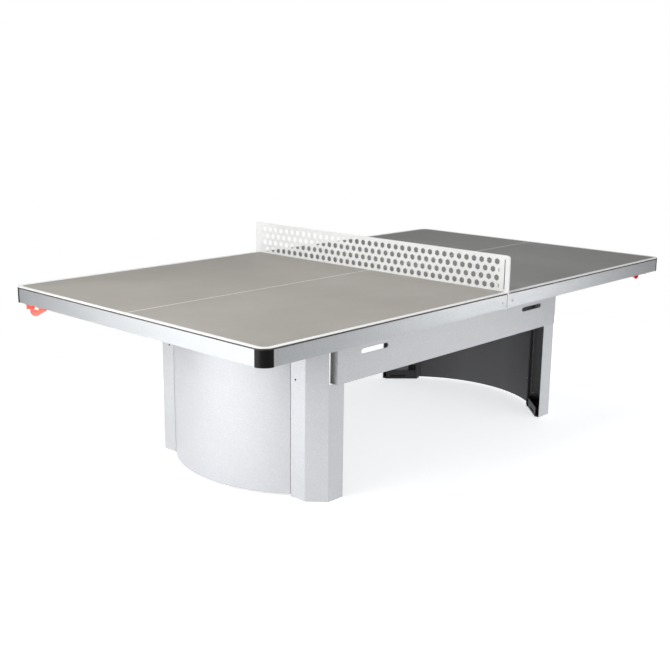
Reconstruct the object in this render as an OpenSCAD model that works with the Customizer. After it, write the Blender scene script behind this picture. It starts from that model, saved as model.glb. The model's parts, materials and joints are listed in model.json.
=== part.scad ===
// Outdoor static table tennis table with a clamped sheet steel net.
// X runs along the table, Y across it along the net, Z up from the ground.
// "near" is the -X half and "far" the +X half; "right" is -Y and "left" is +Y.

/* [Playing surface] */
// Length of the table top
top_l = 2740; // [2700:10:2800]
// Width of the table top
top_w = 1525; // [1515:1:1535]
// Height of the playing surface above the ground
top_h = 760; // [750:1:780]
// Thickness of the laminate top
top_t = 7; // [6:1:9]
// Radius of the outer corners in plan
corner_r = 45; // [38:1:50]
// Gap between the two half tops
seam_gap = 1; // [0.5:0.5:2]

/* [Edge frame] */
// Depth of the edge rails
rail_h = 58; // [56:1:64]
// Sheet thickness of rails and braces
sheet_t = 2; // [1.5:0.5:2.5]
// Width of the upper inward flange of a rail
rail_top_flange = 30; // [28:1:36]
// Width of the lower inward flange of a rail
rail_low_flange = 20; // [18:1:24]
// Half width of the slit between the half rails, where the net leg enters
seam_half = 4.5; // [4.3:0.1:6]
// Wall of the moulded corner caps
cap_wall = 3; // [2:0.5:4]

/* [Net] */
// Height of the net's upper edge above the playing surface
net_rise = 153; // [152:0.5:154]
// Clearance under the net sheet
net_gap = 1; // [0.5:0.5:2]
// Half of the net's overall width
net_half = 765; // [764:0.5:766]
// Thickness of the net sheet
net_t = 2; // [1.5:0.5:3]
// Thickness of the net leg along the table
leg_x = 8; // [7:0.2:8.4]
// Depth of the net leg across the table
leg_y = 8; // [7.6:0.1:8.2]
// Radius of the net's upper corners
net_corner = 12; // [8:1:16]
// Spacing of the hexagonal holes along a row
hex_pitch = 39; // [38.5:0.1:39.2]
// Size of a hexagonal hole from point to point
hex_size = 26.8; // [22:0.2:28]
// Width of the long slot near each end of the net
slot_w = 5.5; // [4:0.5:7]

/* [Net clamp] */
// Distance of a clamp screw from the seam
screw_x = 35.7; // [30:0.1:38]
// Shank diameter of a clamp screw
screw_d = 8; // [6:1:8]
// Diameter of the screw heads
head_d = 13; // [12:0.5:15]
// Height of the screw heads
head_h = 4.5; // [3.5:0.5:6]
// Height range over which the net can be set
net_travel = 8; // [4:1:8]
// Thickness of the threaded clamp plates
clamp_t = 6; // [5:0.5:8]

/* [Beams] */
// Distance of the beam's outer face from the table's middle plane
beam_y = 529; // [525:1:532]
// Height of the beam's lower edge above the ground
beam_z = 473; // [460:1:490]
// Half length of the beams
beam_half = 772; // [771:1:773]
// Depth of the beam section across the table
beam_d = 40; // [38:1:44]
// Sheet thickness of beams and legs
beam_t = 2.5; // [2:0.5:3]
// Length of the beam's opening
beam_slot = 160; // [140:5:180]
// Height of the beam's opening
beam_slot_h = 20; // [16:1:24]

/* [Legs] */
// Half width of the curved leg panel
panel_half = 360; // [350:1:360]
// Radius of the curved leg panel
panel_r = 575; // [570:1:580]
// Distance of the panel's curve centre from the seam
panel_c = 410; // [408:1:412]
// Ground clearance of the curved panel
panel_z = 10; // [6:1:16]

/* [Hidden] */
$fn = 96;
hl = top_l / 2;
hw = top_w / 2;
under = top_h - top_t;
rail_z = under - rail_h;
brace_z = rail_z + sheet_t;
net_z = top_h + net_gap;
net_top = top_h + net_rise;
row_pitch = hex_pitch * sqrt(3) / 2;
row_1 = net_top - 29.2;
screw_z = rail_z + 27;
web_in = hw - sheet_t;
ear_out = web_in - 0.1;
ear_in = ear_out - 4;
plate_out = ear_in - 0.1;
bore = 0.05;
seam_brace_x = 72;
mid_brace_x = 430;
leg_brace_x = 800;
end_brace_x = 1120;
brace_x = [seam_brace_x, mid_brace_x, leg_brace_x, end_brace_x];
brace_narrow = 30;
brace_wide = 50;
brace_w = [brace_narrow, brace_narrow, brace_wide, brace_narrow];
top_screw_x = [250, 620, 980, 1250];
top_screw_y = hw - 17.5;
// Bent plan of a leg post, outer face, in the +X +Y corner
post_plan = [[715, 509], [800, 509], [858, 440], [858, 362.5], [830, 362.5]];
rivet_y = 388;
rivet_z = 484;
bolt_x = 841;
bolt_z = [150, 400, 620];

silver = [0.78, 0.8, 0.81];
galv = [0.66, 0.68, 0.69];
white = [0.95, 0.95, 0.95];
black = [0.06, 0.06, 0.06];

// ---- helpers ----

// Copies a shape drawn in the +X +Y corner to the corner given by two signs
module at(x, y) mirror([x < 0 ? 1 : 0, 0, 0]) mirror([0, y < 0 ? 1 : 0, 0]) children();

module corners() for (x = [-1, 1], y = [-1, 1]) at(x, y) children();

function unit(v) = v / norm(v);
function left(v) = [-v[1], v[0]];
// Vertex i of an open path moved sideways by t, mitred at the bends
function side(path, i, t) =
    let (n = len(path) - 1,
         a = i > 0 ? unit(path[i] - path[i - 1]) : unit(path[1] - path[0]),
         b = i < n ? unit(path[i + 1] - path[i]) : a,
         m = left(a) + left(b))
    path[i] + m * (2 * t / (m * m));
// Section of a sheet bent along a path, its thickness on the side of t
module sheet(path, t)
    polygon(concat(path, [for (i = [len(path) - 1:-1:0]) side(path, i, t)]));

// Section drawn in (Y, Z), run along X from x0 to x1
module along_x(x0, x1) translate([x0, 0, 0]) rotate([90, 0, 90])
    linear_extrude(x1 - x0) children();
// Section drawn in (X, Z), run along Y from y0 to y1
module along_y(y0, y1) translate([0, y1, 0]) rotate([90, 0, 0])
    linear_extrude(y1 - y0) children();
// Cylinder along Y from y0 to y1
module rod_y(x, z, r, y0, y1) translate([x, y0, z]) rotate([-90, 0, 0])
    cylinder(r = r, h = y1 - y0);
// Cylinder along X from x0 to x1
module rod_x(y, z, r, x0, x1) translate([x0, y, z]) rotate([0, 90, 0])
    cylinder(r = r, h = x1 - x0);

// ---- playing surface ----

module half_top() color([0.6, 0.59, 0.57]) difference() {
    translate([0, 0, under]) linear_extrude(top_t) union() {
        translate([seam_gap / 2, -hw]) square([hl - corner_r - seam_gap / 2, top_w]);
        translate([seam_gap / 2, corner_r - hw])
            square([hl - seam_gap / 2, top_w - 2 * corner_r]);
        for (s = [-1, 1]) translate([hl - corner_r, s * (hw - corner_r)]) circle(r = corner_r);
    }
    for (s = [-1, 1]) {
        translate([-1, s > 0 ? ear_in : -hw - 1, under - 1])
            cube([seam_half + 0.1 + 1, hw + 1 - ear_in, top_t + 2]);
        for (x = top_screw_x) translate([x, s * top_screw_y, under - 1])
            cylinder(r = 2.6, h = 5);
    }
}
module tabletop_near() at(-1, 1) half_top();
module tabletop_far() half_top();

module top_screws() color(silver) corners() for (x = top_screw_x)
    translate([x, top_screw_y, 0]) {
        translate([0, 0, under - sheet_t - 4]) cylinder(r = 5, h = 4);
        translate([0, 0, under - sheet_t - 1]) cylinder(r = 2.5, h = 6.5);
    }

// ---- edge frame ----

module long_rail() color(silver) difference() {
    along_x(seam_half, hl - corner_r)
        sheet([[hw - rail_top_flange, under], [hw, under],
               [hw, rail_z], [hw - rail_low_flange, rail_z]], -sheet_t);
    rod_y(screw_x, screw_z, screw_d / 2 + bore, hw - 10, hw + 5);
    for (x = top_screw_x) translate([x, top_screw_y, under - 10]) cylinder(r = 2.6, h = 20);
}
module long_rail_near_right() at(-1, -1) long_rail();
module long_rail_near_left() at(-1, 1) long_rail();
module long_rail_far_right() at(1, -1) long_rail();
module long_rail_far_left() at(1, 1) long_rail();

module end_rail() color(silver) difference() {
    along_y(corner_r - hw, hw - corner_r)
        sheet([[hl - rail_top_flange, under], [hl, under],
               [hl, rail_z], [hl - rail_low_flange, rail_z]], -sheet_t);
    for (y = holder_screw_y) translate([hl - 12, y, rail_z - 5]) cylinder(r = 2.6, h = 12);
}
module end_rail_near() rotate([0, 0, 180]) end_rail_drilled();
module end_rail_far() end_rail_drilled();
module end_rail_drilled() at(1, -1) end_rail();

// Quarter-round moulded corner with a floor and two tongues inside the rails
module corner_cap() translate([hl - corner_r, hw - corner_r, 0]) {
    difference() {
        translate([0, 0, rail_z - 1.5]) cylinder(r = corner_r, h = rail_h + 1.5);
        translate([0, 0, rail_z - 1.5 + cap_wall])
            cylinder(r = corner_r - cap_wall, h = rail_h);
        translate([-100, -100, rail_z - 10]) cube([100, 200, 100]);
        translate([-100, -100, rail_z - 10]) cube([200, 100, 100]);
    }
    for (m = [0, 1]) mirror([m, -m, 0])
        translate([-28, corner_r - sheet_t - 2.7, rail_z + sheet_t + 0.2])
            cube([30, 2.5, rail_h - 2 * sheet_t - 0.4]);
}
module corner_caps() color(black) corners() corner_cap();

// Braces across the table between the rails' flanges: channels welded from three strips each,
// a web, a top strip under the rails' upper flanges and a foot strip on the lower ones
module corners_x() for (x = [-1, 1]) at(x, 1) children();
module brace_strip(x, w, z) corners_x() translate([x, -web_in, z]) cube([w, 2 * web_in, sheet_t]);
module foot_strip(x, w) brace_strip(x, w, brace_z);

module brace_webs() color(galv) for (x = brace_x)
    corners_x() translate([x, -web_in, brace_z + sheet_t])
        cube([sheet_t, 2 * web_in, under - brace_z - 3 * sheet_t]);
module brace_top_strips() color(galv) for (i = [0:3])
    brace_strip(brace_x[i], brace_w[i], under - 2 * sheet_t);
module seam_braces() color(galv) foot_strip(seam_brace_x, brace_narrow);
module mid_braces() color(galv) difference() {
    foot_strip(mid_brace_x, brace_narrow);
    corners() translate([mid_brace_x + 17, beam_y - 22, brace_z - 5])
        cylinder(r = 4.2, h = 20);
}
module leg_braces() color(galv) difference() {
    foot_strip(leg_brace_x, brace_wide);
    corners() for (y = [400, 450]) translate([leg_brace_x + 27, y, brace_z - 5])
        cylinder(r = 4.2, h = 20);
}
module end_braces() color(galv) foot_strip(end_brace_x, brace_narrow);

// ---- beams ----

module beam() color(silver) {
    difference() {
        along_x(-beam_half, beam_half)
            sheet([[beam_y - beam_d, brace_z], [beam_y, brace_z],
                   [beam_y, beam_z], [beam_y - beam_d, beam_z]], -beam_t);
        corners_x() hull_slot();
        corners_x() translate([mid_brace_x + 17, beam_y - 22, brace_z - 10])
            cylinder(r = 4.2, h = 20);
    }
    corners_x() translate([beam_half - beam_t, beam_y - beam_d, beam_z + beam_t])
        cube([beam_t, beam_d - beam_t, brace_z - beam_z - 2 * beam_t]);
}
// Round-ended opening through the beam's web
module hull_slot() {
    r = beam_slot_h / 2;
    x = 560;
    z = 582;
    for (s = [-1, 1])
        rod_y(x + s * (beam_slot / 2 - r), z, r, beam_y - 10, beam_y + 5);
    translate([x - beam_slot / 2 + r, beam_y - 10, z - r])
        cube([beam_slot - 2 * r, 15, 2 * r]);
}
module side_beam_right() at(1, -1) beam();
module side_beam_left() at(1, 1) beam();

module beam_ties() color(galv) corners_x()
    along_y(-(beam_y - beam_t), beam_y - beam_t)
        sheet([[280, brace_z - beam_t], [250, brace_z - beam_t],
               [250, brace_z - 97], [280, brace_z - 97]], sheet_t);

// Hexagon bolt with its head underneath, standing on the Z axis
module bolt_up(r, af, head, len) {
    translate([0, 0, -head]) cylinder(r = af / sqrt(3), h = head, $fn = 6);
    translate([0, 0, -1]) cylinder(r = r, h = len + 1);
}
module nut(r, af, h) difference() {
    cylinder(r = af / sqrt(3), h = h, $fn = 6);
    translate([0, 0, -1]) cylinder(r = r, h = h + 2);
}
module frame_bolt_places(z_beam, z_plate) corners() {
    translate([mid_brace_x + 17, beam_y - 22, z_beam]) children();
    for (y = [400, 450]) translate([leg_brace_x + 27, y, z_plate]) children();
}
module frame_bolts() color(galv)
    frame_bolt_places(brace_z - beam_t, brace_z - 4) bolt_up(4, 13, 5.3, 16);
module frame_nuts() color(galv)
    frame_bolt_places(brace_z + sheet_t, brace_z + sheet_t) nut(4.1, 13, 6.5);

// ---- legs ----

module leg_post() color(silver) difference() {
    linear_extrude(brace_z) sheet(post_plan, -beam_t);
    translate([690, 480, beam_z]) cube([post_plan[1][0] - 1 - 690, 60, 300]);
    rod_x(rivet_y, rivet_z, 2.6, 840, 870);
    for (z = bolt_z) rod_y(bolt_x, z, 3.2, 350, 380);
}
module leg_post_near_right() at(-1, -1) leg_post();
module leg_post_near_left() at(-1, 1) leg_post();
module leg_post_far_right() at(1, -1) leg_post();
module leg_post_far_left() at(1, 1) leg_post();

// Arc of sheet, drawn in plan, between two radii and within a half width
module arc_plan(r, t, half) intersection() {
    translate([panel_c, 0]) difference() {
        circle(r = r, $fn = 240);
        circle(r = r - t, $fn = 240);
    }
    translate([750, -half]) square([400, 2 * half]);
}
module leg_panel() color(silver) translate([0, 0, panel_z]) difference() {
    linear_extrude(rail_z - 5 - panel_z) union() {
        arc_plan(panel_r, 2, panel_half);
        for (s = [-1, 1]) translate([832, s > 0 ? panel_half - 2 : -panel_half])
            square([24.5, 2]);
    }
    for (z = bolt_z) rod_y(bolt_x, z - panel_z, 3.2, -380, 380);
}
module leg_panel_near() at(-1, 1) leg_panel();
module leg_panel_far() leg_panel();

module leg_liner() color([0.2, 0.2, 0.21]) translate([0, 0, panel_z + 1])
    linear_extrude(rail_z - 8 - panel_z) arc_plan(panel_r - 2.5, 1.5, panel_half - 8);
module leg_liner_near() at(-1, 1) leg_liner();
module leg_liner_far() leg_liner();

liner_plan = [[717, 509], [800, 509], [858, 440], [858, 372]];
module post_liners() color([0.2, 0.2, 0.21]) corners() difference() {
    translate([0, 0, 76]) linear_extrude(beam_z - 80)
        sheet([for (i = [0:3]) side(liner_plan, i, -beam_t - 0.5)], -1.5);
}

module leg_top_plates() color(galv) corners() difference() {
    translate([0, 0, brace_z - 4]) linear_extrude(4)
        polygon([[797, 504], [853.5, 436.5], [853.5, 368], [805, 368], [776, 420]]);
    for (y = [400, 450]) translate([leg_brace_x + 27, y, brace_z - 10])
        cylinder(r = 4.2, h = 20);
}

module panel_bolts() color(galv) corners() for (z = bolt_z)
    translate([bolt_x, 358, z]) rotate([-90, 0, 0]) bolt_up(3, 10, 4, 13);
module panel_nuts() color(galv) corners() for (z = bolt_z)
    translate([bolt_x, 365, z]) rotate([-90, 0, 0]) nut(3.1, 10, 5);
module panel_spacers() color(black) corners() for (z = bolt_z)
    difference() {
        rod_y(bolt_x, z, 7, 360, 362.5);
        rod_y(bolt_x, z, 3.2, 355, 366);
    }
module liner_rivets() color([0.3, 0.3, 0.31]) corners() {
    rod_x(rivet_y, rivet_z, 4, 858, 860);
    rod_x(rivet_y, rivet_z, 2.5, 853, 859);
}

// Ground plate with a slotted upright across the open side of the post
module foot_bracket() color(black) difference() {
    union() {
        linear_extrude(6) polygon([[716, 506.4], [798.8, 506.4], [855.4, 439],
                                   [855.4, 365.1], [835, 365.1], [716, 484]]);
        linear_extrude(48) sheet([[716, 484.1], [834.9, 365.2]], 4);
        along_x(851.4, 855.4) union() {
            translate([396, 0]) square([40, 72]);
            translate([366, 0]) square([70, 42]);
            translate([396, 42]) circle(r = 30);
        }
        along_y(502.4, 506.4) union() {
            translate([716, 0]) square([50, 40]);
            translate([716, 0]) square([38, 52]);
            translate([754, 40]) circle(r = 12);
        }
    }
    translate([733, 467, 12]) rotate([0, 0, -45]) translate([0, -10, 0])
        cube([84, 30, 7]);
    translate([810, 440, -1]) cylinder(r = 6.5, h = 10);
}
module foot_bracket_near_right() at(-1, -1) foot_bracket();
module foot_bracket_near_left() at(-1, 1) foot_bracket();
module foot_bracket_far_right() at(1, -1) foot_bracket();
module foot_bracket_far_left() at(1, 1) foot_bracket();

// ---- ball holders ----

holder_screw_y = [588, 688];
// Tapering scoop; d is how far inside the outer surface
module scoop(d) hull() {
    rod_y(1330, 668, 28 - d, 658, 660, $fn = 48);
    rod_y(1333, 684, 9 - d, 582 + d, 584 + d, $fn = 48);
}
// Window for the fingers in the side of the scoop that faces the table's end
grip_at = [1338, 611, 674];
module ball_holder() color([0.95, 0.36, 0.3]) {
    difference() {
        union() {
            scoop(0);
            along_x(1348, 1352) polygon([[698, 692], [698, 667], [650, 675], [650, 692]]);
            along_y(694, 698) polygon([[1352, 692], [1352, 667], [1306, 683], [1306, 692]]);
        }
        scoop(3);
        rod_y(1330, 668, 25, 657, 670);
        translate([1200, 560, 691]) cube([200, 200, 60]);
        translate(grip_at) cube([30, 28, 13]);
    }
    difference() {
        translate([0, 0, 691]) linear_extrude(rail_z - 691) union() {
            translate([1288, 580]) square([74, 112]);
            translate([1294, 574]) square([62, 124]);
            for (x = [1294, 1356], y = [580, 692]) translate([x, y]) circle(r = 6);
        }
        for (y = holder_screw_y) translate([hl - 12, y, 680]) cylinder(r = 2.6, h = 20);
    }
}
module ball_holder_near() at(-1, 1) ball_holder();
module ball_holder_far() at(1, -1) ball_holder();
module holder_screws() color(galv) for (s = [-1, 1]) at(s, -s) for (y = holder_screw_y)
    translate([hl - 12, y, 0]) {
        translate([0, 0, 688]) cylinder(r = 5, h = 3);
        translate([0, 0, 690]) cylinder(r = 2.5, h = 9);
    }

// ---- net ----

// Outline of the whole net in (Y, Z), with rounded upper corners
module net_outline() union() {
    translate([-net_half, net_z]) square([2 * net_half, net_top - net_corner - net_z]);
    translate([net_corner - net_half, net_z])
        square([2 * (net_half - net_corner), net_top - net_z]);
    for (s = [-1, 1]) translate([s * (net_half - net_corner), net_top - net_corner])
        circle(r = net_corner);
}
module hexagon() rotate(90) circle(d = hex_size, $fn = 6);
sheet_half = net_half - leg_y;

module net_sheet() color(white) along_x(-net_t / 2, net_t / 2) difference() {
    intersection() {
        net_outline();
        translate([-sheet_half, net_z - 1]) square([2 * sheet_half, 200]);
    }
    for (row = [0, 2], i = [-18:18])
        translate([i * hex_pitch, row_1 - row * row_pitch]) hexagon();
    for (row = [1, 3], i = [-18:17])
        translate([(i + 0.5) * hex_pitch, row_1 - row * row_pitch]) hexagon();
    // part holes that close each of the staggered rows
    intersection() {
        for (row = [1, 3], s = [-1, 1])
            translate([s * 18.5 * hex_pitch, row_1 - row * row_pitch]) hexagon();
        translate([-714.5, net_z]) square([1429, 200]);
    }
    for (s = [-1, 1]) translate([s * 741 - slot_w / 2, net_z + 9.5])
        square([slot_w, 125.5]);
}

// Upright bar at the net's end; its tail goes down between the half rails
module net_leg() color(white) along_x(-leg_x / 2, leg_x / 2) union() {
    intersection() {
        net_outline();
        translate([sheet_half, net_z - 1]) square([leg_y, 200]);
    }
    translate([sheet_half, rail_z + 1.5]) square([leg_y, net_z + 2 - rail_z - 1.5]);
}
module net_leg_right() at(1, -1) net_leg();
module net_leg_left() at(1, 1) net_leg();

// Two slotted ears welded to the leg inside the rails
module net_bracket() color(white) corners_x() difference() {
    translate([leg_x / 2, ear_in, screw_z - 19])
        cube([52 - leg_x / 2, ear_out - ear_in, 39]);
    for (z = [screw_z, screw_z - net_travel])
        rod_y(screw_x, z, screw_d / 2 + 0.3, ear_in - 5, ear_out + 5);
    translate([screw_x - screw_d / 2 - 0.3, ear_in - 5, screw_z - net_travel])
        cube([screw_d + 0.6, 20, net_travel]);
}
module net_bracket_right() at(1, -1) net_bracket();
module net_bracket_left() at(1, 1) net_bracket();

// ---- net clamp ----

module clamp_plate() color(galv) difference() {
    translate([-50, plate_out - clamp_t, screw_z - 16]) cube([100, clamp_t, 32]);
    for (s = [-1, 1])
        rod_y(s * screw_x, screw_z, screw_d / 2 + bore, plate_out - 20, plate_out + 5);
}
module clamp_plate_right() at(1, -1) clamp_plate();
module clamp_plate_left() at(1, 1) clamp_plate();

// Button-head screw with a hexagon socket, its axis along Y
module clamp_screw() color(white) translate([screw_x, hw + 0.1, screw_z])
    rotate([-90, 0, 0]) difference() {
        union() {
            intersection() {
                cylinder(d = head_d, h = head_h);
                translate([0, 0, head_h - 9.2]) sphere(r = 9.2);
            }
            translate([0, 0, -23]) cylinder(d = screw_d, h = 24);
        }
        translate([0, 0, head_h - 2.6]) cylinder(r = 5 / sqrt(3), h = 5, $fn = 6);
    }
module clamp_screw_right_near() at(-1, -1) clamp_screw();
module clamp_screw_right_far() at(1, -1) clamp_screw();
module clamp_screw_left_near() at(-1, 1) clamp_screw();
module clamp_screw_left_far() at(1, 1) clamp_screw();

tabletop_near();
tabletop_far();
long_rail_near_right();
long_rail_near_left();
long_rail_far_right();
long_rail_far_left();
end_rail_near();
end_rail_far();
corner_caps();
top_screws();
seam_braces();
mid_braces();
leg_braces();
end_braces();
brace_webs();
brace_top_strips();
side_beam_right();
side_beam_left();
beam_ties();
frame_bolts();
frame_nuts();
leg_post_near_right();
leg_post_near_left();
leg_post_far_right();
leg_post_far_left();
leg_panel_near();
leg_panel_far();
leg_liner_near();
leg_liner_far();
post_liners();
leg_top_plates();
panel_bolts();
panel_nuts();
panel_spacers();
liner_rivets();
foot_bracket_near_right();
foot_bracket_near_left();
foot_bracket_far_right();
foot_bracket_far_left();
ball_holder_near();
ball_holder_far();
holder_screws();
net_sheet();
net_leg_right();
net_leg_left();
net_bracket_right();
net_bracket_left();
clamp_plate_right();
clamp_plate_left();
clamp_screw_right_near();
clamp_screw_right_far();
clamp_screw_left_near();
clamp_screw_left_far();
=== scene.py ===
import json
import math

import bpy
from mathutils import Matrix, Vector

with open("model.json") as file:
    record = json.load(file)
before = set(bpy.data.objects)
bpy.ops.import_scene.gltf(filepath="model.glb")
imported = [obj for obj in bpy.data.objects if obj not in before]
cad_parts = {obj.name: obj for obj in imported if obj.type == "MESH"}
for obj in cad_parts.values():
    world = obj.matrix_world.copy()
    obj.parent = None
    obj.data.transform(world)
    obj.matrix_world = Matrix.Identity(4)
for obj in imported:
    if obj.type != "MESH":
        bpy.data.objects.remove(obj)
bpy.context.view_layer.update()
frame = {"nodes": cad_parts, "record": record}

nodes = frame["nodes"]

# ---------------------------------------------------------------- node helpers

BLUR = 0.0002  # half the width of a soft border between two paints, in metres


class Tree:
    """A material under construction, with short calls for the nodes that it uses."""

    def __init__(self, name):
        self.mat = bpy.data.materials.new(name)
        self.mat.use_nodes = True
        self.nt = self.mat.node_tree
        self.shader = self.nt.nodes["Principled BSDF"]
        self.coord = self.nt.nodes.new("ShaderNodeTexCoord").outputs["Object"]

    def put(self, socket, value):
        if isinstance(value, bpy.types.NodeSocket):
            self.nt.links.new(value, socket)
        elif isinstance(value, (tuple, list)) and len(value) == 3 and socket.type == "RGBA":
            socket.default_value = (*value, 1)
        else:
            socket.default_value = value

    def set(self, **values):
        for key, value in values.items():
            self.put(self.shader.inputs[key.replace("_", " ")], value)

    def math(self, op, a, b=0.0):
        n = self.nt.nodes.new("ShaderNodeMath")
        n.operation = op
        self.put(n.inputs[0], a)
        self.put(n.inputs[1], b)
        return n.outputs[0]

    def split(self, vector):
        n = self.nt.nodes.new("ShaderNodeSeparateXYZ")
        self.put(n.inputs[0], vector)
        return n.outputs

    def noise(self, scale, detail=2.0, rough=0.5, vector=None):
        n = self.nt.nodes.new("ShaderNodeTexNoise")
        self.put(n.inputs["Vector"], vector or self.coord)
        n.inputs["Scale"].default_value = scale
        n.inputs["Detail"].default_value = detail
        n.inputs["Roughness"].default_value = rough
        return n.outputs["Fac"]

    def cells(self, scale):
        n = self.nt.nodes.new("ShaderNodeTexVoronoi")
        self.put(n.inputs["Vector"], self.coord)
        n.inputs["Scale"].default_value = scale
        return self.split(n.outputs["Color"])

    def stretch(self, sx, sy, sz):
        n = self.nt.nodes.new("ShaderNodeMapping")
        self.put(n.inputs["Vector"], self.coord)
        n.inputs["Scale"].default_value = (sx, sy, sz)
        return n.outputs["Vector"]

    def times(self, a, b):
        return self.math("MULTIPLY", a, b)

    def length(self, a, b):
        return self.math("SQRT", self.math("ADD", self.times(a, a), self.times(b, b)))

    def span(self, value, low, high, to_low=0.0, to_high=1.0):
        n = self.nt.nodes.new("ShaderNodeMapRange")
        self.put(n.inputs["Value"], value)
        ends = {"From Min": low, "From Max": high, "To Min": to_low, "To Max": to_high}
        for key, v in ends.items():
            n.inputs[key].default_value = v
        return n.outputs["Result"]

    def below(self, value, limit, blur=BLUR):
        """1 where the value is under the limit, 0 over it."""
        return self.span(value, limit + blur, limit - blur)

    def mix(self, factor, a, b):
        n = self.nt.nodes.new("ShaderNodeMix")
        n.data_type = "RGBA"
        self.put(n.inputs["Factor"], factor)
        self.put(n.inputs["A"], a)
        self.put(n.inputs["B"], b)
        return n.outputs["Result"]

    def normal(self, axis):
        n = self.nt.nodes.new("ShaderNodeNewGeometry")
        return self.split(n.outputs["True Normal"])[axis]

    def bump(self, height, depth):
        n = self.nt.nodes.new("ShaderNodeBump")
        self.put(n.inputs["Height"], height)
        n.inputs["Distance"].default_value = depth
        n.inputs["Strength"].default_value = 1.0
        self.put(self.shader.inputs["Normal"], n.outputs["Normal"])


# ---------------------------------------------------------------- materials

WHITE_PAINT = (0.93, 0.93, 0.92)
LINER = (0.12, 0.12, 0.125)
# the liner's colour darkened to 0.6 as painted shade, for the inner faces of the legs
LINER_SHADED = [c * 0.6 for c in LINER]
HALF_L, HALF_W, CORNER = 1.37, 0.7625, 0.045  # outline of the whole top
LINE, CENTRE_LINE = 0.021, 0.00215  # width of the edge line, half the width of the centre line
PAINTED_SIDE = 0.75845  # the edge paint runs over the edge down to this height


def laminate(name, base, warm):
    """Matt textured laminate with its painted edge lines and the fine centre line."""
    t = Tree(name)
    x, y, z = t.split(t.coord)
    grain = t.noise(1400, 3, 0.6)
    cloud = t.noise(2.2, 3, 0.55)
    tone = t.mix(t.span(cloud, 0.3, 0.7), [c * 0.95 for c in base], warm)
    tone = t.mix(t.span(grain, 0.35, 0.65, 0, 0.35), tone, [c * 0.72 for c in base])
    # distance inside the rounded outline of the whole top
    qx = t.math("SUBTRACT", t.math("ABSOLUTE", x), HALF_L - CORNER)
    qy = t.math("SUBTRACT", t.math("ABSOLUTE", y), HALF_W - CORNER)
    px, py = t.math("MAXIMUM", qx, 0), t.math("MAXIMUM", qy, 0)
    away = t.length(px, py)
    near = t.math("MINIMUM", t.math("MAXIMUM", qx, qy), 0)
    depth = t.math("SUBTRACT", CORNER, t.math("ADD", away, near))
    ragged = t.times(t.math("SUBTRACT", t.noise(700, 2), 0.5), 0.0006)
    edge = t.below(t.math("ADD", depth, ragged), LINE, 0.0003)
    centre = t.below(t.math("ADD", t.math("ABSOLUTE", y), ragged), CENTRE_LINE, 0.00025)
    painted = t.math("MAXIMUM", edge, centre)
    worn = t.times(painted, t.span(t.noise(260, 3), 0.72, 0.8, 1.0, 0.82))
    facing_up = t.span(t.normal(2), 0.5, 0.8)
    colour = t.mix(t.times(worn, facing_up), tone, WHITE_PAINT)
    core = t.mix(t.span(t.noise(90, 3), 0.4, 0.6), (0.05, 0.042, 0.036), (0.08, 0.068, 0.056))
    core = t.mix(t.below(t.math("ADD", z, ragged), PAINTED_SIDE, 0.00015), WHITE_PAINT, core)
    flat = t.span(t.math("ABSOLUTE", t.normal(2)), 0.5, 0.7)
    colour = t.mix(flat, core, colour)
    t.set(Base_Color=colour, Roughness=t.span(grain, 0.3, 0.7, 0.5, 0.64),
          Specular_IOR_Level=0.22)
    t.bump(t.math("ADD", grain, t.times(painted, 0.8)), 0.00006)
    return t.mat


# inner faces of a leg, in the dark liner colour with painted shade on top, as distances from the
# middle of the table along x and y
POST_WALL = 0.8556  # the post's wall is silver beyond this x
WALL_FROM, WALL_TO = 0.36425, 0.43875  # the wall's dark part along y
FLANGE_END = 0.3662  # the post's return flange ends at this y
SEAM, SEAM_HALF, SEAM_DEPTH = 0.3614, 0.00255, 0.8444  # open seam between panel and post
ARC_CENTRE, ARC_INSIDE, ARC_END = 0.41, 0.5741, 0.359  # the curved panel


def leg_inside(t, x, y):
    """1 on the inner faces of a leg and 0 on its outer ones."""
    along, across = t.math("ABSOLUTE", x), t.math("ABSOLUTE", y)
    in_seam = t.below(t.math("ABSOLUTE", t.math("SUBTRACT", across, SEAM)), SEAM_HALF, 0.00015)
    in_post = t.below(along, POST_WALL)
    shown = t.times(t.math("SUBTRACT", 1.0, in_seam), in_post)
    flange = t.times(t.below(across, FLANGE_END),
                     t.math("MAXIMUM", shown, t.below(along, SEAM_DEPTH)))
    beside = t.times(t.below(across, WALL_TO), t.span(across, WALL_FROM - BLUR, WALL_FROM + BLUR))
    wall = t.times(beside, in_post)
    radius = t.length(t.math("SUBTRACT", along, ARC_CENTRE), y)
    arc = t.times(t.below(radius, ARC_INSIDE), t.below(across, ARC_END))
    return t.math("MAXIMUM", arc, t.math("MAXIMUM", flange, wall))


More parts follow.
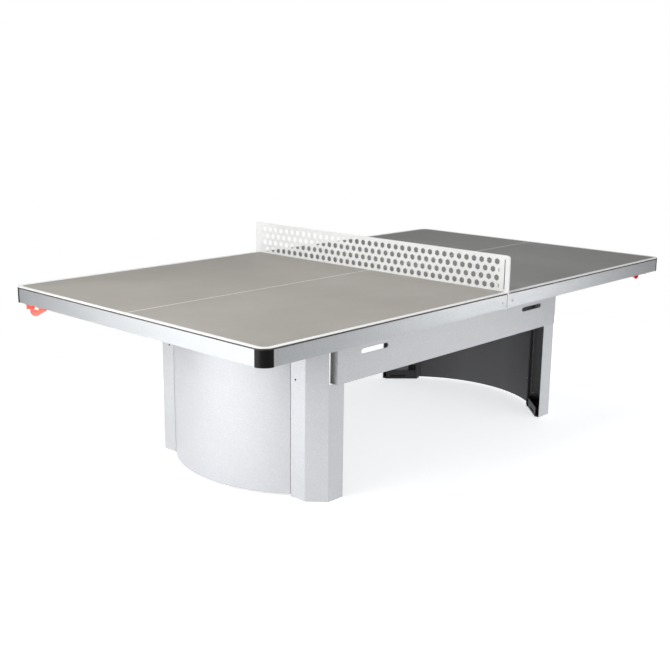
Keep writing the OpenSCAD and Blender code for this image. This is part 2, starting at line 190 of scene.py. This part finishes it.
def silver(name, base, rough=0.42, metal=0.55, leg=False):
    """Speckled silver coating on galvanised sheet; the inner faces of a leg are matt and take the
    dark liner colour darkened as painted shade.
    """
    t = Tree(name)
    speck = t.noise(1100, 2, 0.7)
    mottle = t.noise(230, 3, 0.65)
    flake = t.cells(420)[0]
    cloud = t.noise(5, 4, 0.6)
    streak = t.noise(26, 3, 0.5, t.stretch(0.2, 0.2, 3.0))
    bright = [min(1, c * 1.08) for c in base]
    tone = t.mix(t.span(speck, 0.35, 0.68), [c * 0.9 for c in base], bright)
    dim = t.mix(0.5, tone, [c * 0.84 for c in base])
    tone = t.mix(t.span(mottle, 0.38, 0.62), dim, tone)
    tone = t.mix(t.span(flake, 0.86, 1.0, 0, 0.35), tone, [min(1, c * 1.3) for c in base])
    tone = t.mix(t.span(cloud, 0.3, 0.75, 0, 0.14), tone, [c * 0.86 for c in base])
    tone = t.mix(t.span(streak, 0.42, 0.75, 0, 0.12), tone, [c * 0.8 for c in base])
    gloss = t.math("ADD", t.span(speck, 0.3, 0.7, rough - 0.05, rough + 0.08),
                   t.span(mottle, 0.35, 0.65, 0.04, -0.04))
    if leg:
        x, y, _ = t.split(t.coord)
        inside = leg_inside(t, x, y)
        # painted shade: the inner faces take the liner's colour darkened to 0.6
        tone = t.mix(inside, tone, LINER_SHADED)
        gloss = t.math("MAXIMUM", gloss, t.times(inside, 0.75))
        metal = t.span(inside, 0, 1, metal, 0)
    t.set(Base_Color=tone, Metallic=metal, Roughness=gloss)
    t.bump(t.math("ADD", speck, t.times(mottle, 0.7)), 0.00008)
    return t.mat


def galvanised(name, base):
    """Hot-dip zinc with its spangle."""
    t = Tree(name)
    spangle = t.cells(120)
    fine = t.noise(600, 3)
    tone = t.mix(t.span(spangle[0], 0, 1), [c * 0.75 for c in base], [c * 1.15 for c in base])
    tone = t.mix(t.span(fine, 0.4, 0.7, 0, 0.25), tone, [c * 0.6 for c in base])
    t.set(Base_Color=tone, Metallic=0.8, Roughness=t.span(spangle[1], 0, 1, 0.35, 0.6))
    t.bump(fine, 0.00004)
    return t.mat


SHADE_FROM, SHADE_TO = 0.12, 0.36  # where the painted shade towards the posts starts and where it is full, along y


def moulded(name, base, rough, grain_scale=1500, grain_depth=0.00005, spec=0.5, vary=1.0,
            painted_shade=0.0):
    """Moulded plastic or powder coat with a fine grain.

    vary scales the unevenness of its tone, and painted_shade darkens it towards the legs' posts
    as painted shade.
    """
    t = Tree(name)
    grain = t.noise(grain_scale, 3, 0.6)
    cloud = t.noise(14, 3)
    dark, light = 1 - 0.1 * vary, 1 + 0.06 * vary
    tone = t.mix(t.span(grain, 0.3, 0.7), [c * dark for c in base],
                 [min(1, c * light) for c in base])
    patch = [c * 0.82 + 0.004 for c in base]
    tone = t.mix(t.span(cloud, 0.35, 0.75, 0, 0.12 * vary), tone, patch)
    # painted shade: the tone darkens towards the legs' posts, where the liner lies in shade
    if painted_shade:
        across = t.math("ABSOLUTE", t.split(t.coord)[1])
        tone = t.mix(t.span(across, SHADE_FROM, SHADE_TO, 0, painted_shade), tone,
                     [c * 0.3 for c in base])
    t.set(Base_Color=tone, Roughness=t.span(grain, 0.3, 0.7, rough - 0.06, rough + 0.08),
          Specular_IOR_Level=spec)
    t.bump(grain, grain_depth)
    return t.mat


# by material slot, or by node where a node differs from its slot
looks = {
    # painted light and shade: both halves are one laminate; the near half takes a lighter lit
    # copy of its tone and the far half a darker shaded copy
    "tabletop_near": laminate("laminate_near_lit", (0.425, 0.40, 0.365), (0.47, 0.445, 0.41)),
    "tabletop_far": laminate("laminate_far_shaded", (0.30, 0.30, 0.29), (0.33, 0.33, 0.32)),
    "rail_steel": silver("rail_silver", (0.55, 0.565, 0.58), 0.40, 0.85),
    "beam_steel": silver("beam_silver", (0.575, 0.585, 0.6)),
    "leg_steel": silver("leg_silver", (0.61, 0.62, 0.64), 0.46, 0.45, leg=True),
    "galvanised": galvanised("zinc", (0.5, 0.51, 0.52)),
    "dark_liner": moulded("liner_grey", LINER, 0.6, spec=0.35, painted_shade=0.6),
    "black_steel": moulded("black_coat", (0.012, 0.012, 0.013), 0.5, 900, 0.00008),
    "black_plastic": moulded("cap_black", (0.004, 0.004, 0.004), 0.34, spec=0.3),
    "red_plastic": moulded("holder_red", (0.9, 0.11, 0.07), 0.38),
    "net_white": moulded("net_white", (0.96, 0.96, 0.955), 0.4, 700, 0.00004, vary=0.4),
    "screw_white": moulded("screw_white", (0.96, 0.96, 0.955), 0.3, 900, 0.00003, vary=0.3),
}
for name in ("panel_nuts", "panel_spacers"):
    looks[name] = looks["black_steel"]

# ---------------------------------------------------------------- CAD nodes


def soften(obj, width):
    """Rounds the edges of a CAD node without touching its mesh."""
    weld = obj.modifiers.new("weld", "WELD")
    weld.merge_threshold = 0.00001
    flat = obj.modifiers.new("flat", "DECIMATE")
    flat.decimate_type = "DISSOLVE"
    flat.angle_limit = math.radians(0.4)
    edge = obj.modifiers.new("edge", "BEVEL")
    edge.width = width
    edge.segments = 2
    edge.limit_method = "ANGLE"
    edge.angle_limit = math.radians(32)
    edge.use_clamp_overlap = True
    even = obj.modifiers.new("even", "WEIGHTED_NORMAL")
    even.mode = "FACE_AREA"
    even.weight = 90
    even.keep_sharp = False


# width of the rounded edges for each slot
EDGES = {"laminate": 0.0006, "rail_steel": 0.0009, "beam_steel": 0.001, "leg_steel": 0.0011,
         "galvanised": 0.0004, "dark_liner": 0.0004, "black_steel": 0.0008,
         "black_plastic": 0.0008, "red_plastic": 0.0006, "net_white": 0.0004,
         "screw_white": 0.0004}
slot_of = {s["node"]: s["material_slot"] for s in frame["record"]["subparts"]}
for name, obj in nodes.items():
    slot = slot_of[name]
    obj.data.materials.clear()
    obj.data.materials.append(looks.get(name) or looks[slot])
    soften(obj, EDGES[slot])

# ---------------------------------------------------------------- stage

PALE = (0.97, 0.985, 1, 1)

# the floor is an oval sheet of pale, softly glowing paper
FLOOR_L, FLOOR_W = 3.1, 2.15
FLOOR_GLOW = 0.66
STEPS = 96
angles = [2 * math.pi * i / STEPS for i in range(STEPS)]
rim = [(FLOOR_L * math.cos(a), FLOOR_W * math.sin(a), 0) for a in angles]
fan = [(0, i + 1, (i + 1) % STEPS + 1) for i in range(STEPS)]
floor = bpy.data.meshes.new("floor")
floor.from_pydata([(0, 0, 0)] + rim, [], fan)
ground = bpy.data.objects.new("floor", floor)
bpy.context.scene.collection.objects.link(ground)
paper = Tree("floor_paper")
paper.set(Base_Color=paper.mix(paper.noise(3, 2), (0.84, 0.84, 0.85), (0.87, 0.87, 0.88)),
          Roughness=0.9, Specular_IOR_Level=0.1, Emission_Strength=FLOOR_GLOW,
          Emission_Color=PALE)
floor.materials.append(paper.mat)
ground.location.z = -0.0005

# the studio lights the table dimly, and the camera sees it as plain white
world = bpy.data.worlds.new("studio")
bpy.context.scene.world = world
world.use_nodes = True
wn = world.node_tree
back = wn.nodes["Background"]
back.inputs["Color"].default_value = PALE
back.inputs["Strength"].default_value = 0.16
white = wn.nodes.new("ShaderNodeBackground")
white.inputs["Color"].default_value = (1, 1, 1, 1)
white.inputs["Strength"].default_value = 1.0
path = wn.nodes.new("ShaderNodeLightPath")
pick = wn.nodes.new("ShaderNodeMixShader")
wn.links.new(path.outputs["Is Camera Ray"], pick.inputs[0])
wn.links.new(back.outputs[0], pick.inputs[1])
wn.links.new(white.outputs[0], pick.inputs[2])
wn.links.new(pick.outputs[0], wn.nodes["World Output"].inputs["Surface"])


def softbox(name, place, aim, size, power):
    data = bpy.data.lights.new(name, "AREA")
    data.shape = "RECTANGLE"
    data.size, data.size_y = size
    data.energy = power
    lamp = bpy.data.objects.new(name, data)
    bpy.context.scene.collection.objects.link(lamp)
    lamp.location = place
    towards = Vector(aim) - Vector(place)
    lamp.rotation_euler = towards.to_track_quat("-Z", "Y").to_euler()
    lamp.visible_camera = False


# place, aim, size and power of each lamp
LAMPS = {
    "side_key": ((2.4, -2.9, 0.5), (0.0, -0.7, 0.6), (0.7, 0.9), 16),
    "side_fill": ((0.3, -3.6, 1.7), (0.3, -0.5, 0.5), (3.0, 1.4), 21),
    "end_low": ((-3.0, -0.35, 0.95), (-1.0, -0.3, 0.5), (1.1, 1.2), 14),
    "end_key": ((-3.4, 0.3, 1.6), (-1.2, -0.3, 0.5), (1.2, 1.0), 12),
    "end_wide": ((-3.2, 1.15, 0.7), (-1.37, -0.1, 0.6), (1.5, 1.0), 21),
    "front_fill": ((-3.2, -3.4, 2.4), (0, 0, 0.5), (2.4, 1.6), 18),
    "top_near": ((-1.6, 0, 2.8), (-1.2, 0, 0.7), (1.6, 1.6), 36),
    "top_far": ((1.4, 0.2, 2.8), (1.2, 0, 0.7), (1.6, 1.6), 19),
    "back_side": ((0.4, 3.3, 0.45), (0.1, 0.7, 0.5), (2.6, 0.5), 15),
    "back_end": ((3.6, 0.4, 0.45), (1.3, 0.2, 0.5), (1.6, 0.5), 15),
}
for lamp_name, spec in LAMPS.items():
    softbox(lamp_name, *spec)

# ---------------------------------------------------------------- camera

CAMERA_AT = (-3.4966, -3.0580, 1.5515)
YAW, PITCH, ROLL = (math.radians(a) for a in (43.066, -13.348, 0.628))
LENS, SENSOR = 54.74, 36
ahead = Vector((math.cos(PITCH) * math.cos(YAW), math.cos(PITCH) * math.sin(YAW),
                math.sin(PITCH)))
level = ahead.cross(Vector((0, 0, 1))).normalized()
upward = level.cross(ahead)
right = level * math.cos(ROLL) + upward * math.sin(ROLL)
up = upward * math.cos(ROLL) - level * math.sin(ROLL)
cam = bpy.data.objects.new("camera", bpy.data.cameras.new("camera"))
cam.data.lens = LENS
cam.data.sensor_width = SENSOR
cam.data.clip_start, cam.data.clip_end = 0.05, 200
turn = Matrix((right, up, -ahead)).transposed().to_4x4()
cam.matrix_world = Matrix.Translation(CAMERA_AT) @ turn
bpy.context.scene.collection.objects.link(cam)
bpy.context.scene.camera = cam
bpy.context.scene.view_settings.view_transform = "Standard"
